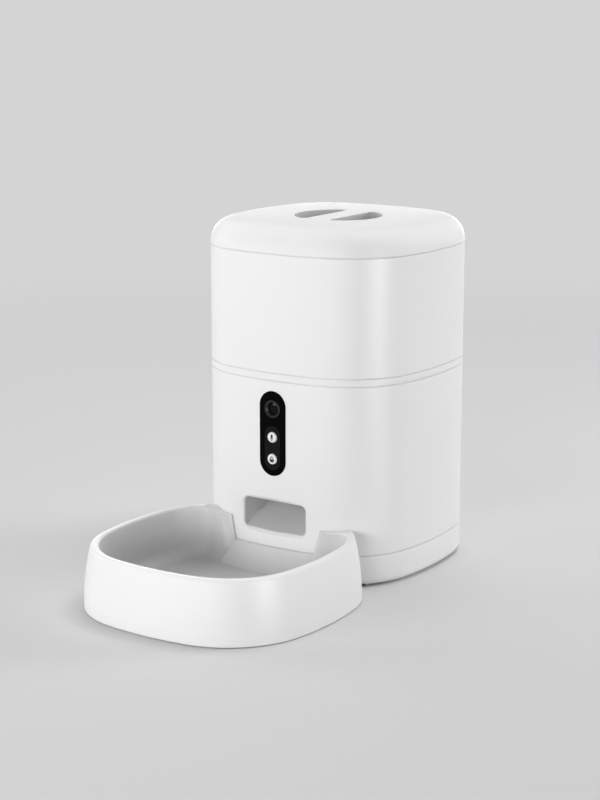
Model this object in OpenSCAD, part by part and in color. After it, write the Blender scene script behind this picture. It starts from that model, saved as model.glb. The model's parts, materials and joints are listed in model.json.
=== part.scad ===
// Automatic pet feeder with a camera: a lift-off lid and food tank on a motor base, with a bowl in front.
// Frame: +Z up, front towards -Y, origin on the floor at the middle of the whole footprint.

/* [Body] */
// Width and depth of the body's plan
body_w = 200; // [192:1:210]
// Radius of the plan's corners
corner_r = 67; // [62:1:72]
// Wall thickness of the outer shells
wall = 2.6; // [2.2:0.1:3.2]
// Height that the rubber feet lift the base
foot_lift = 1.2; // [0.8:0.1:2]
// Height of the base tray's side
base_h = 26.1; // [24:0.1:30]
// Rounding of the base tray's lower edge
base_edge_r = 6; // [3:0.5:8]
// Height of the body shell's side
body_h = 144.7; // [142:0.1:156]
// Height of the ring under the food tank
ring_h = 6.5; // [5:0.1:9]
// Height of the food tank's side
tank_h = 99.5; // [80:0.5:140]
// Height of the lid
lid_h = 22; // [20:0.5:26]
// Rounding of the lid's upper edge
lid_edge_r = 20; // [14:0.5:20]
// Width of the parting lines between the shells
seam_h = 0.8; // [0.4:0.1:1.2]
// Depth of the parting lines
seam_depth = 0.7; // [0.4:0.1:1]

/* [Lid grip] */
// Diameter of the finger well in the lid
well_d = 76; // [66:1:84]
// Width of the grip bar across the well
grip_w = 23.2; // [18:0.2:28]
// Depth of the well
well_depth = 17; // [12:0.5:17.5]
// Rounding of the well's sharp corners in plan
well_corner_r = 4; // [2:0.5:6]

/* [Camera panel] */
// Width of the dark panel
panel_w = 26; // [24:0.5:30]
// Height of the dark panel
panel_h = 72.8; // [70:0.2:80]
// Distance from the body shell's top down to the panel
panel_drop = 9; // [6:0.5:14]
// Distance from the panel's top down to the lens
lens_drop = 15.3; // [13:0.1:18]
// Diameter of the lens ring
lens_ring_d = 15; // [13:0.5:17]
// Width of the button pad
pad_w = 15.3; // [14:0.1:17]
// Height of the button pad
pad_h = 37.9; // [36:0.1:40]
// Margin of the panel below the button pad
pad_margin = 5; // [4:0.1:7]
// Diameter of a button
button_d = 9.0; // [8:0.1:10.5]
// Distance between the two buttons
button_pitch = 18.8; // [17:0.1:20]
// Travel of a button
button_travel = 0.8; // [0.5:0.1:1]

/* [Food outlet] */
// Width of the outlet's opening
outlet_w = 63; // [56:0.5:68]
// Height of the outlet's opening
outlet_h = 26.4; // [22:0.2:30]
// Height of the outlet's lower edge above the floor
outlet_z = 41; // [38:0.5:44]
// Corner radius of the outlet
outlet_r = 5; // [3:0.5:7]
// Width of the bevel round the outlet
outlet_bevel = 3.3; // [1.5:0.1:3.5]
// Slope of the chute's floor in degrees
chute_slope = 31; // [28:0.5:34]
// Width of the chute's shaft
shaft_w = 36; // [30:1:40]
// Depth of the chute's shaft from front to back
shaft_d = 26; // [22:1:27]
// Wall thickness of the chute
chute_wall = 2.4; // [1.8:0.1:2.6]

/* [Dispenser] */
// Inner radius of the metering drum
drum_r = 46; // [43:0.5:48]
// Inner height of the metering drum
drum_h = 27; // [24:0.5:30]
// Wall thickness of the drum, the hopper and the inner covers
thin_wall = 2.2; // [1.8:0.1:2.6]
// Number of vanes on the impeller
vane_count = 6; // [4:1:8]
// Thickness of a vane
vane_t = 2.6; // [2:0.1:4]
// Slope of the hopper's floor in degrees
hopper_slope = 32; // [28:0.5:36]
// Diameter of the motor's output shaft
shaft_dia = 6; // [5:0.1:7]
// Diameter of the gearbox
gearbox_d = 34; // [30:0.5:36]
// Length of the gearbox
gearbox_h = 24; // [20:0.5:28]
// Diameter of the motor
motor_d = 27; // [24:0.5:30]
// Length of the motor
motor_h = 31; // [28:0.5:34]

/* [Bowl] */
// Width and depth of the bowl's own plan
bowl_w = 210; // [204:1:216]
// Radius of the bowl's corners
bowl_corner_r = 75; // [70:1:80]
// Height of the bowl's rim
bowl_h = 52.5; // [46:0.5:60]
// Distance that the bowl stands out in front of the body
bowl_out = 175.5; // [168:0.5:182]
// Radius of the curve of the bowl's side, from floor to rim
bowl_side_r = 225; // [180:5:300]
// Height of the bowl's inner floor
bowl_floor_z = 9; // [7:0.5:12]
// Radius of the fillet round the inner floor
bowl_fillet_r = 11; // [8:0.5:12]
// Thickness of the bowl's skirt and floor
bowl_wall = 2.5; // [2:0.1:3]
// Outer rounding of the rim
rim_r = 3; // [2:0.5:4]
// Width of the flat on the rim
rim_flat = 2.4; // [1:0.1:3]
// Inner rounding of the rim
rim_inner_r = 2; // [1:0.5:3]
// Inward lean of the bowl's inner wall in degrees
bowl_draft = 4; // [2:0.5:6]
// Thickness of the rear wall at its rim
rear_wall = 7; // [6:0.5:9]
// Width of the rear notch at its foot
notch_w = 80; // [76:1:84]
// Height of the notch's foot above the floor
notch_z = 28; // [26:0.5:30]
// Length of the ramp from the notch to the inner floor
ramp_run = 18; // [15:0.5:22]
// Depth that the rim dips beside the notch
ear_dip = 3.7; // [2:0.1:5]
// Rounding of the two ends of the rear wall
ear_r = 9; // [7:0.5:10]

/* [Fits] */
// Gap between pieces that are lifted or pulled apart
lift_gap = 0.3; // [0.3:0.05:0.5]
// Gap between the bowl and the body
bowl_gap = 0.8; // [0.5:0.1:1.5]
// Gap round pieces that are fixed together
fit_gap = 0.1; // [0.05:0.01:0.2]
// Radial clearance of the turning shaft
shaft_gap = 0.05; // [0.02:0.01:0.09]

/* [Hidden] */
$fn = 96;
eps = 1;

// Plan outline: the radial line through each corner's centre has the sides of this right triangle
run = 13;
rise = 84;
slant = 85;
tile_reach = 4;
tile_low = -20;
tile_high = 400;
function plan_unit(width, r) = round(100 * (width / 2 - r) / (slant - rise + run)) / 100;
function plan_half(unit, r) = (slant - rise + run) * unit + r;
unit = plan_unit(body_w, corner_r);
body_half = plan_half(unit, corner_r);
front_axis = [0, (rise - run) * unit];
front_r = slant * unit + corner_r;
corner_centre = run * unit;

// Levels above the floor
base_top = foot_lift + base_h;
body_top = base_top + body_h;
ring_top = body_top + ring_h;
tank_top = ring_top + tank_h;
lid_top = tank_top + lid_h;
deck_t = 3;
deck_drop = 12;
deck_top = body_top - deck_drop;
deck_low = deck_top - deck_t;
drum_gap = 2;
drum_rim = deck_top + 6;
drum_floor = drum_rim - drum_h;
pit_floor = drum_floor - thin_wall - drum_gap;
pit_low = pit_floor - deck_t;

// Overall placing: the footprint's middle lies on the origin
bowl_unit = plan_unit(bowl_w, bowl_corner_r);
bowl_half = plan_half(bowl_unit, bowl_corner_r);
bowl_y = bowl_half - body_half - bowl_out;
body_y = bowl_out / 2;

// Tray, posts and screws
tongue_t = 1.6;
tongue_h = 3.7;
tongue_in = wall + 0.2;
floor_t = 2.6;
tray_floor = foot_lift + floor_t;
post_r = 5;
post_at = corner_centre + (corner_r - wall - post_r + 1.9) / sqrt(2);
post_low = base_top + tongue_h;
pilot_r = 1.35;
pilot_depth = 14;
screw_r = 1.5;
screw_hole_r = 1.7;
head_r = 2.8;
head_h = 2;
head_sunk = 14;
foot_r = 9;
foot_sunk = 1;
foot_at = corner_centre + (corner_r - 24) / sqrt(2);

// Lid and tank
core_lap = 6;
liner_in = wall + 1.9;
liner_top = tank_top + 1.4;
liner_t = 2;
plug_h = 9;
socket_h = 3;
seal_low = 2;
seal_h = 3;
seal_depth = 0.8;
cap_r = 33;
cap_h = 12;
vent_r = 1.4;
vent_pitch = 8;
pack_edge = 3;
pack_h = 7.5;
pack_gap = 1.5;
tank_post_low = 3;
tank_post_h = 16;
flange_t = 2.6;
ring_flange = 14;
spigot_h = 4;
throat_step = 4;
baffle_t = 1.6;
baffle_lap = 5;
baffle_back = 17;

// Speaker
speaker_r = 20;
speaker_z = 78;
speaker_y = body_half - wall - 5;
cradle_h = 12;
cradle_lip = 2;
grille_pitch = 4.2;
grille_r = 1.1;
cone_r = 12;
magnet_low = 9;
speaker_h = 16;

// Camera panel
panel_top = body_top - panel_drop;
panel_low = panel_top - panel_h;
panel_z = panel_top - panel_h / 2;
lens_z = panel_top - lens_drop;
pad_z = panel_low + pad_margin + pad_h / 2;
panel_proud = 0.4;
panel_back = 4.8;
panel_flange = 2;
pad_depth = 3;
button_proud = 0.9;
button_flange = 1.2;
front_y = -body_half;
web_y = front_y + panel_back;
board_t = 1.6;
board_back = 9;
board_y = web_y + board_back;
talk_z = pad_z + button_pitch / 2;
feed_z = pad_z - button_pitch / 2;
plunger_r = 1.7;
switch_w = 6;
switch_h = 3.5;
plunger_h = 1;
plunger_y = board_y - switch_h - plunger_h;
front_reach = 4;
front_deep = 12;
boss_r = 2.6;
boss_z = [panel_low + 5, (talk_z + lens_z) / 2];
bay_room = 4;
panel_bay_w = panel_w + 2 * panel_flange + bay_room;
panel_bay_d = panel_back + board_back + board_t + bay_room;
front_board_w = 20;
front_board_low = panel_low + 1;
front_board_h = panel_h - 4;
lens_r = 5.2;
lens_front = 2.2;
lens_back = 3.3;
lens_bulge = 18;

// Board in the tray
board_w = 92;
board_d = 58;
board_edge = 5;
inlet_w = 9;
inlet_h = 3.3;
inlet_d = 9;
inlet_skin = 0.35;
inlet_z = tray_floor + 9;
board_z = inlet_z - inlet_h / 2 - board_t;
board_back_y = body_half - wall - tongue_t - 5.6;
board_post_r = 3.4;
tab_w = 24;
tab_d = 4;
board_hole_x = board_w / 2 - board_edge;
board_hole_y = [board_back_y - board_d + board_edge, board_back_y - board_edge - tab_d];

// Dispenser
cone_tan = tan(hopper_slope);
hub_r = 13;
hub_top = drum_rim - 1;
coupler_r = 9;
coupler_h = 10;
shaft_top = drum_floor + 9.5;
outlet_hole_w = shaft_w - 4;
outlet_hole_front = drum_r - 2;
outlet_hole_back = outlet_hole_front - shaft_d + 4;
pit_r = drum_r + thin_wall + 3;
boss_h = 3;
bracket_t = 2.5;
bracket_low = pit_low - boss_h - bracket_t;
boss_x = 27;
boss_y = [-9, 22];
shaft_front = -(outlet_hole_front + 2);
shaft_back = shaft_front + shaft_d;
shaft_sunk = 10;
seal_r = 7;
seal_lip = 0.8;
gearbox_screw_r = gearbox_d / 2 - 4;
nose_r = 6.5;
chute_screw_x = shaft_w / 2 + chute_wall + 5;
chute_screw_y = shaft_front + 8;
chute_tan = tan(chute_slope);
chute_tab_t = 2.4;
chute_tab_r = 4.5;
mouth_y = front_y + wall;
mouth_lap = 4;

// Bowl
bowl_front_axis = front_axis - [0, bowl_y];
wall_r = front_r + bowl_gap;
rim_z = bowl_h - rim_r;
rim_u = sqrt(pow(bowl_side_r - rim_r, 2) - pow(rim_z, 2)) - bowl_side_r;
rim_in_u = rim_u - rim_flat;
inner_top_u = rim_in_u - rim_inner_r;
inner_top_z = bowl_h - rim_inner_r;
draft_run = (inner_top_z - bowl_floor_z - bowl_fillet_r) * tan(bowl_draft);
bowl_core = 42;
skirt_low = 0.8;
rear_corner_r = 18;
ramp_lip = 0.5;
ramp_slant = 15.5;
ramp_grip = 0.3;
ramp_sunk = 2.5;
notch_step = 4;
notch_lean = 13;
notch_slant = 27;
ear_cross = 0.2;
dip_flat = 56;
dip_end = 80;
corner_cross = 0.25;
pad_r = 6;
pad_sunk = 0.8;
rear_r = wall_r + rear_wall;
bowl_corner_run = run * bowl_unit;
rear_corner_c = [bowl_corner_run, bowl_corner_run];
rear_corner_q = circle_meet(bowl_front_axis, rear_r + rear_corner_r + fit_gap / 2,
    rear_corner_c, bowl_corner_r + inner_top_u - rear_corner_r - fit_gap / 2, 1);
pad_at = bowl_corner_run + (bowl_corner_r - 34) / sqrt(2);
pad_rear_y = -bowl_y - body_half - 26;

// Ends of the bowl's rear wall: the centre of their rounding, from the foot of the notch's side
ear_centre_r = rear_r + (inner_top_z - notch_z) * tan(bowl_draft) - ear_r + ear_cross;
notch_turn = asin(notch_w / 2 / wall_r);
ear_turn = notch_slant + asin((ear_r - ear_cross + wall_r * sin(notch_turn - notch_slant)) / ear_centre_r);
notch_y = bowl_front_axis[1] - wall_r * cos(notch_turn);
ear_at = [ear_centre_r * sin(ear_turn) - notch_w / 2,
    bowl_front_axis[1] - ear_centre_r * cos(ear_turn) - notch_y];
arc_steps = 6;

function arc_points(x, y, r, from, to, steps = arc_steps) =
    [for (i = [0:steps]) let (a = from + (to - from) * i / steps) [x + r * cos(a), y + r * sin(a)]];

// The point at distance r1 from p1 and r2 from p2, on the side given by sign
function circle_meet(p1, r1, p2, r2, sign) =
    let (d = norm(p2 - p1), a = (r1 * r1 - r2 * r2 + d * d) / (2 * d), h = sqrt(r1 * r1 - a * a))
    p1 + (p2 - p1) * a / d + sign * [-(p2 - p1)[1], (p2 - p1)[0]] * h / d;

// Part of the plan in front of the corner centres, between two radial lines
module side_tile(u) {
    far = run * (u + tile_reach);
    low = -run * u - rise * tile_reach;
    polygon([[-run * u, -run * u], [run * u, -run * u], [far, low], [-far, low]]);
}

// Part of the plan outside one corner's centre, between two radial lines
module corner_tile(u) {
    near = run * u;
    side = run * (u + tile_reach);
    far = near + rise * tile_reach;
    polygon([[near, -near], [side, -far], [far, -far], [far, -side]]);
}

// Rounded square with bulged sides: a middle square, four sides and four corners
module plan(u, r, inset = 0) {
    union() {
        square(2 * run * u, center = true);
        for (turn = [0:90:270]) rotate(turn) {
            intersection() {
                translate([0, (rise - run) * u]) circle(slant * u + r - inset);
                side_tile(u);
            }
            intersection() {
                translate([run * u, -run * u]) circle(r - inset);
                corner_tile(u);
            }
        }
    }
}

// Sweeps a profile round the plan: its x is the distance out from the outline, its y is the height
module around(u, r) {
    for (turn = [0:90:270]) rotate(turn) {
        intersection() {
            translate([0, (rise - run) * u, 0]) rotate_extrude() translate([slant * u + r, 0]) children();
            translate([0, 0, tile_low]) linear_extrude(tile_high) side_tile(u);
        }
        intersection() {
            translate([run * u, -run * u, 0]) rotate_extrude() translate([r, 0]) children();
            translate([0, 0, tile_low]) linear_extrude(tile_high) corner_tile(u);
        }
    }
}

module body_prism(low, high, inset = 0) {
    translate([0, 0, low]) linear_extrude(high - low) plan(unit, corner_r, inset);
}

module body_sweep(points) {
    around(unit, corner_r) polygon(points);
}

module at_posts() {
    for (x = [-1, 1], y = [-1, 1]) translate([x * post_at, y * post_at, 0]) children();
}

// Facing the front: x stays, the drawing's y becomes the height, and depth runs back from y0 to y1
module from_front(y0, y1) {
    translate([0, y1, 0]) rotate([90, 0, 0]) linear_extrude(y1 - y0) children();
}

module pill(w, h) {
    translate([0, (h - w) / 2]) circle(w / 2);
    translate([0, (w - h) / 2]) circle(w / 2);
    square([w, h - w], center = true);
}

// Pan-head screw pointing up, its head's underside at z = 0
module screw_up(length) {
    cylinder(r = screw_r * 0.85, h = length);
    translate([0, 0, -head_h]) difference() {
        cylinder(r = head_r, h = head_h);
        translate([0, 0, -eps]) cylinder(r = head_r * 0.45, h = head_h * 0.6 + eps, $fn = 6);
    }
}

module screw_down(length) {
    rotate([180, 0, 0]) screw_up(length);
}

/* Lid */

// Two half-moon wells beside the grip bar, drawn with an extra margin all round
module half_moons(margin) {
    r = well_d / 2 + margin;
    bar = grip_w / 2 - margin;
    f = well_corner_r + margin;
    cx = bar + f;
    cy = sqrt(pow(r - f, 2) - cx * cx);
    for (side = [0, 180]) rotate(side) {
        intersection() {
            circle(r);
            polygon([[cx, -cy], [2 * cx, -2 * cy], [2 * r, -2 * cy], [2 * r, 2 * cy], [2 * cx, 2 * cy],
                [cx, cy]]);
        }
        for (y = [-1, 1]) translate([cx, y * cy]) circle(f);
        translate([bar, -cy]) square([f + eps, 2 * cy]);
    }
}

module lid() {
    r = lid_edge_r;
    inner = r - wall;
    side = lid_h - r;
    z = tank_top;
    groove = seam_h / 2;
    core = r + core_lap;
    outer = concat(
        [[-core, z], [-wall, z], [-seam_depth, z], [-seam_depth, z + groove], [0, z + groove]],
        arc_points(-r, z + side, r, 0, 90, 10),
        [[-core, lid_top]]);
    hollow = concat(
        [[-core - eps, z - eps], [-wall, z - eps]],
        arc_points(-r, z + side, inner, 0, 90, 8),
        [[-core - eps, lid_top - wall]]);
    color("#eeeeec") difference() {
        union() {
            difference() {
                union() {
                    body_sweep(outer);
                    body_prism(z, lid_top, core - eps);
                }
                body_sweep(hollow);
                body_prism(z - eps, lid_top - wall, core - eps);
            }
            translate([0, 0, lid_top - well_depth - thin_wall])
                linear_extrude(well_depth + thin_wall - eps) half_moons(thin_wall);
        }
        translate([0, 0, lid_top - well_depth]) linear_extrude(well_depth + eps) half_moons(0);
    }
}

module lid_liner() {
    z = liner_top;
    low = z - liner_t;
    color("#e6e6e4") difference() {
        union() {
            body_prism(low, z, liner_in);
            difference() {
                body_prism(low - plug_h, z - eps / 2, liner_in);
                body_prism(low - plug_h - eps, z, liner_in + thin_wall);
            }
            translate([0, 0, low - socket_h]) cylinder(r = cap_r + thin_wall, h = socket_h + eps);
        }
        translate([0, 0, low - socket_h - eps]) cylinder(r = cap_r + fit_gap, h = socket_h + eps);
        difference() {
            body_prism(low - plug_h + seal_low, low - plug_h + seal_low + seal_h, liner_in - eps);
            body_prism(low - plug_h, low, liner_in + seal_depth);
        }
    }
}

module lid_seal() {
    low = liner_top - liner_t - plug_h + seal_low;
    high = low + seal_h - fit_gap;
    out = -(wall + lift_gap);
    back = -(liner_in + seal_depth - fit_gap);
    color("#c9cccd") body_sweep([
        [back, low + fit_gap], [-liner_in, low + fit_gap], [out, high - fit_gap * 3], [out, high],
        [back, high]]);
}

module desiccant_cap() {
    top = liner_top - liner_t;
    low = top - cap_h;
    color("#dcdcda") difference() {
        translate([0, 0, low]) cylinder(r = cap_r, h = cap_h);
        translate([0, 0, low + thin_wall]) cylinder(r = cap_r - thin_wall, h = cap_h);
        for (ring = [1:3], i = [0:6 * ring - 1])
            rotate(i * 60 / ring) translate([ring * vent_pitch, 0, low - eps])
                cylinder(r = vent_r, h = thin_wall + 2 * eps);
    }
}

module desiccant_pack() {
    low = liner_top - liner_t - cap_h + thin_wall;
    pack_r = cap_r - thin_wall - pack_gap;
    color("#f2efe6") translate([0, 0, low]) rotate_extrude() polygon(concat(
        [[0, 0], [pack_r - pack_edge, 0]],
        arc_points(pack_r - pack_edge, pack_edge, pack_edge, -90, 90, 6),
        [[0, pack_h]]));
}

/* Food tank */

module food_tank() {
    groove = seam_h / 2;
    low = ring_top;
    color("#ececea") union() {
        body_sweep([
            [0, low + groove], [0, tank_top - groove], [-seam_depth, tank_top - groove],
            [-seam_depth, tank_top],
            [-wall, tank_top], [-wall, low], [-seam_depth, low], [-seam_depth, low + groove]]);
        difference() {
            intersection() {
                at_posts() translate([0, 0, low + tank_post_low]) cylinder(r = post_r, h = tank_post_h);
                body_prism(low, tank_top, wall - eps);
            }
            at_posts() translate([0, 0, low]) cylinder(r = pilot_r, h = pilot_depth);
        }
    }
}

module tank_ring() {
    low = body_top;
    groove = seam_h / 2;
    spigot = wall + lift_gap;
    color("#e9e9e7") difference() {
        union() {
            body_sweep([
                [0, low + groove], [0, ring_top - groove], [-seam_depth, ring_top - groove],
                [-seam_depth, ring_top], [-ring_flange, ring_top], [-ring_flange, ring_top - flange_t],
                [-spigot - tongue_t, ring_top - flange_t], [-spigot - tongue_t, low - spigot_h],
                [-spigot, low - spigot_h], [-spigot, low], [-seam_depth, low], [-seam_depth, low + groove]]);
            intersection() {
                at_posts() translate([0, 0, ring_top - flange_t]) cylinder(r = post_r + 2, h = flange_t);
                body_prism(low, ring_top, wall);
            }
        }
        at_posts() translate([0, 0, ring_top - flange_t - eps])
            cylinder(r = screw_hole_r, h = flange_t + 2 * eps);
        at_posts() translate([0, 0, low - spigot_h - eps])
            cylinder(r = head_r + lift_gap, h = ring_h - flange_t + spigot_h + eps);
    }
}

// Conical floor of the tank, trimmed to the tank's plan, on a flat flange
module hopper_funnel() {
    throat = drum_r - throat_step;
    out_r = 130;
    rise_out = (out_r - drum_r) * cone_tan;
    skin = thin_wall / cos(hopper_slope);
    flange_z = ring_top;
    flange_in = drum_r + (flange_z + 3 - drum_rim - thin_wall) / cone_tan;
    color("#e2e2e0") difference() {
        intersection() {
            union() {
                rotate_extrude() polygon([
                    [throat, drum_rim], [drum_r + thin_wall, drum_rim], [out_r, drum_rim + rise_out],
                    [out_r, drum_rim + rise_out + skin], [drum_r, drum_rim + skin],
                    [throat, drum_rim + skin]]);
                difference() {
                    translate([0, 0, flange_z]) cylinder(r = out_r, h = flange_t);
                    translate([0, 0, flange_z - eps]) cylinder(r = flange_in, h = flange_t + 2 * eps);
                }
            }
            body_prism(0, lid_top, wall + lift_gap);
        }
        at_posts() translate([0, 0, flange_z - eps]) cylinder(r = post_r + lift_gap, h = tank_h);
    }
}

module outlet_hole(low, high, margin = 0) {
    translate([-outlet_hole_w / 2 - margin, -outlet_hole_front - margin, low])
        cube([outlet_hole_w + 2 * margin, outlet_hole_front - outlet_hole_back + 2 * margin, high - low]);
}

module meter_drum() {
    low = drum_floor - thin_wall;
    color("#d5d7d8") difference() {
        translate([0, 0, low]) cylinder(r = drum_r + thin_wall, h = drum_rim - low);
        translate([0, 0, drum_floor]) cylinder(r = drum_r, h = drum_h + eps);
        translate([0, 0, low - eps]) cylinder(r = coupler_r + 2, h = thin_wall + 2 * eps);
        intersection() {
            outlet_hole(low - eps, drum_floor + eps);
            translate([0, 0, low - eps]) cylinder(r = drum_r - 0.5, h = thin_wall + 2 * eps);
        }
    }
}

// Plate over the drum's outlet, under the hopper's throat, which stops food from running straight through
module food_baffle() {
    color("#bfc4c6") translate([0, 0, drum_rim - baffle_t]) intersection() {
        cylinder(r = drum_r - lift_gap, h = baffle_t);
        translate([-outlet_hole_w / 2 - baffle_lap, -drum_r, 0])
            cube([outlet_hole_w + 2 * baffle_lap, drum_r - baffle_back, baffle_t]);
    }
}

module tank_screws() {
    color("#9a9c9e") at_posts() translate([0, 0, ring_top - flange_t]) screw_up(pilot_depth - 1);
}

/* Turning parts */

module impeller() {
    low = drum_floor + lift_gap;
    vane_top = drum_rim - 2 * baffle_t;
    skirt_r = hub_r + 5;
    skirt_t = 2;
    screw_h = 8;
    color("#b9bcbd") difference() {
        union() {
            translate([0, 0, low]) cylinder(r = hub_r, h = hub_top - low);
            for (i = [0:vane_count - 1]) rotate((i + 0.5) * 360 / vane_count)
                translate([hub_r - eps, -vane_t / 2, low])
                    cube([drum_r - 1.5 - hub_r + eps, vane_t, vane_top - low]);
            translate([0, 0, low]) difference() {
                cylinder(r = skirt_r, h = skirt_t);
                translate([0, 0, -eps]) cylinder(r = hub_r - eps, h = skirt_t + 2 * eps);
            }
        }
        translate([0, 0, low - eps])
            cylinder(r = coupler_r + lift_gap + fit_gap, h = coupler_h + eps, $fn = 6);
        translate([0, 0, hub_top - screw_h]) cylinder(r = pilot_r, h = screw_h + eps);
    }
}

// Arms that sweep the hopper's throat, fixed to the impeller's hub
module stirrer() {
    arm_r = 2.6;
    arm_z = 6;
    arm_lean = 68;
    reach = drum_r - 10;
    dome_r = hub_r - 2;
    color("#a9acae") translate([0, 0, hub_top]) union() {
        rotate_extrude() polygon(concat([[0, 0], [dome_r, 0]], arc_points(0, 0, dome_r, 20, 90, 6)));
        for (side = [0, 180]) rotate(side) translate([0, 0, arm_z]) rotate([0, arm_lean, 0]) {
            cylinder(r = arm_r, h = reach);
            translate([0, 0, reach]) sphere(r = arm_r);
        }
    }
}

module shaft_outline(r) {
    intersection() {
        circle(r);
        translate([-r - eps, -r - eps]) square([2 * r + 2 * eps, 1.75 * r + eps]);
    }
}

module drive_shaft() {
    color("#b9bcc0") union() {
        translate([0, 0, bracket_low - shaft_sunk])
            cylinder(d = shaft_dia, h = pit_floor + 1 - bracket_low + shaft_sunk);
        translate([0, 0, pit_floor]) linear_extrude(shaft_top - pit_floor) shaft_outline(shaft_dia / 2);
    }
}

module drive_coupler() {
    low = pit_floor + 1.2;
    color("#4a4d50") difference() {
        union() {
            translate([0, 0, low]) cylinder(r = coupler_r, h = drum_floor + coupler_h - 1 - low, $fn = 6);
            translate([0, 0, low]) cylinder(r = coupler_r + 0.6, h = 1.6);
        }
        translate([0, 0, low - eps]) linear_extrude(shaft_top - low + eps + fit_gap)
            shaft_outline(shaft_dia / 2 + fit_gap / 4);
    }
}

/* Base */

// Rounded bevel mouth: straight hole, with sides that open towards the front
module outlet_mouth() {
    w = outlet_w - 2 * outlet_r;
    h = outlet_h - 2 * outlet_r;
    mid_z = outlet_z + outlet_h / 2;
    back = 12;
    deep = front_y + outlet_bevel - 0.4;
    ahead = 6;
    grow = outlet_bevel + ahead;
    from_front(front_y - ahead, front_y + back) translate([0, mid_z]) {
        square([outlet_w, h], center = true);
        square([w, outlet_h], center = true);
        for (x = [-1, 1], z = [-1, 1]) translate([x * w / 2, z * h / 2]) circle(outlet_r);
    }
    for (x = [-1, 1], z = [-1, 1]) translate([x * w / 2, deep, mid_z + z * h / 2]) rotate([90, 0, 0])
        cylinder(r1 = outlet_r, r2 = outlet_r + grow, h = grow);
    translate([-w / 2, 0, mid_z]) rotate([90, 0, 90]) linear_extrude(w) polygon([
        [deep, -outlet_h / 2], [deep, outlet_h / 2],
        [deep - grow, outlet_h / 2 + grow], [deep - grow, -outlet_h / 2 - grow]]);
    translate([0, 0, mid_z - h / 2]) linear_extrude(h) polygon([
        [-outlet_w / 2, deep], [outlet_w / 2, deep],
        [outlet_w / 2 + grow, deep - grow], [-outlet_w / 2 - grow, deep - grow]]);
}

module body_shell() {
    groove = seam_h / 2;
    color("#ededeb") difference() {
        union() {
            body_sweep([
                [0, base_top + groove], [0, body_top - groove], [-seam_depth, body_top - groove],
                [-seam_depth, body_top], [-wall, body_top], [-wall, base_top],
                [-seam_depth, base_top], [-seam_depth, base_top + groove]]);
            intersection() {
                at_posts() translate([0, 0, post_low]) cylinder(r = post_r, h = deck_low - post_low);
                body_prism(post_low, deck_low, wall - eps);
            }
            intersection() {
                translate([0, speaker_y, speaker_z]) rotate([-90, 0, 0]) difference() {
                    cylinder(r = speaker_r + 1, h = cradle_h);
                    translate([0, 0, -eps]) cylinder(r = speaker_r - cradle_lip, h = cradle_h + 2 * eps);
                }
                body_prism(base_top, body_top, wall - eps);
            }
        }
        at_posts() translate([0, 0, post_low - eps]) cylinder(r = pilot_r, h = pilot_depth + eps);
        at_posts() translate([0, 0, deck_low - pilot_depth]) cylinder(r = pilot_r, h = pilot_depth + eps);
        from_front(front_y - 8, front_y + 8) translate([0, panel_z])
            pill(panel_w + 2 * fit_gap, panel_h + 2 * fit_gap);
        outlet_mouth();
        for (i = [-3:3], j = [-3:3]) let (x = (i + j / 2) * grille_pitch, z = j * grille_pitch * sqrt(3) / 2)
            if (norm([x, z]) < 3.1 * grille_pitch)
                translate([x, body_half - 2 * wall, speaker_z + z]) rotate([-90, 0, 0])
                    cylinder(r = grille_r, h = 4 * wall);
    }
}

module base_tray() {
    r = base_edge_r;
    groove = seam_h / 2;
    inner = wall + tongue_t;
    core = r + core_lap;
    sides = concat(
        [[-core, foot_lift]],
        arc_points(-r, foot_lift + r, r, -90, 0, 7),
        [[0, base_top - groove], [-seam_depth, base_top - groove], [-seam_depth, base_top],
         [-tongue_in, base_top], [-tongue_in, base_top + tongue_h],
         [-tongue_in - tongue_t, base_top + tongue_h],
         [-tongue_in - tongue_t, tray_floor], [-core, tray_floor]]);
    color("#e8e8e6") difference() {
        union() {
            body_sweep(sides);
            body_prism(foot_lift, tray_floor, core - eps);
            intersection() {
                at_posts() translate([0, 0, foot_lift]) cylinder(r = post_r, h = post_low - foot_lift);
                body_prism(foot_lift, post_low, tongue_in);
            }
            for (x = [-1, 1], y = board_hole_y) translate([x * board_hole_x, y, foot_lift])
                cylinder(r = board_post_r, h = board_z - foot_lift);
        }
        at_posts() translate([0, 0, foot_lift - eps])
            cylinder(r = screw_hole_r, h = base_h + tongue_h + 2 * eps);
        at_posts() translate([0, 0, foot_lift - eps])
            cylinder(r = head_r + 2 * lift_gap, h = head_sunk + eps);
        for (x = [-1, 1], y = board_hole_y) translate([x * board_hole_x, y, tray_floor])
            cylinder(r = pilot_r, h = 12);
        for (x = [-1, 1], y = [-1, 1]) translate([x * foot_at, y * foot_at, foot_lift - eps])
            cylinder(r = foot_r + fit_gap, h = foot_sunk + eps);
        translate([0, body_half - inlet_d, inlet_z]) rotate([-90, 0, 0]) linear_extrude(2 * inlet_d)
            pill_flat(inlet_w + 2 * fit_gap, inlet_h + 2 * fit_gap);
    }
}

// Pill lying on its side
module pill_flat(w, h) {
    rotate(90) pill(h, w);
}

module base_feet() {
    color("#3a3b3d") for (x = [-1, 1], y = [-1, 1]) translate([x * foot_at, y * foot_at, 0]) rotate_extrude()
        polygon([[0, 0], [foot_r - 1, 0], [foot_r, 0.6], [foot_r, foot_lift + foot_sunk],
            [0, foot_lift + foot_sunk]]);
}

module base_screws() {
    color("#9a9c9e") at_posts() translate([0, 0, foot_lift + head_sunk])
        screw_up(post_low + pilot_depth - 1 - foot_lift - head_sunk);
}

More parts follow.
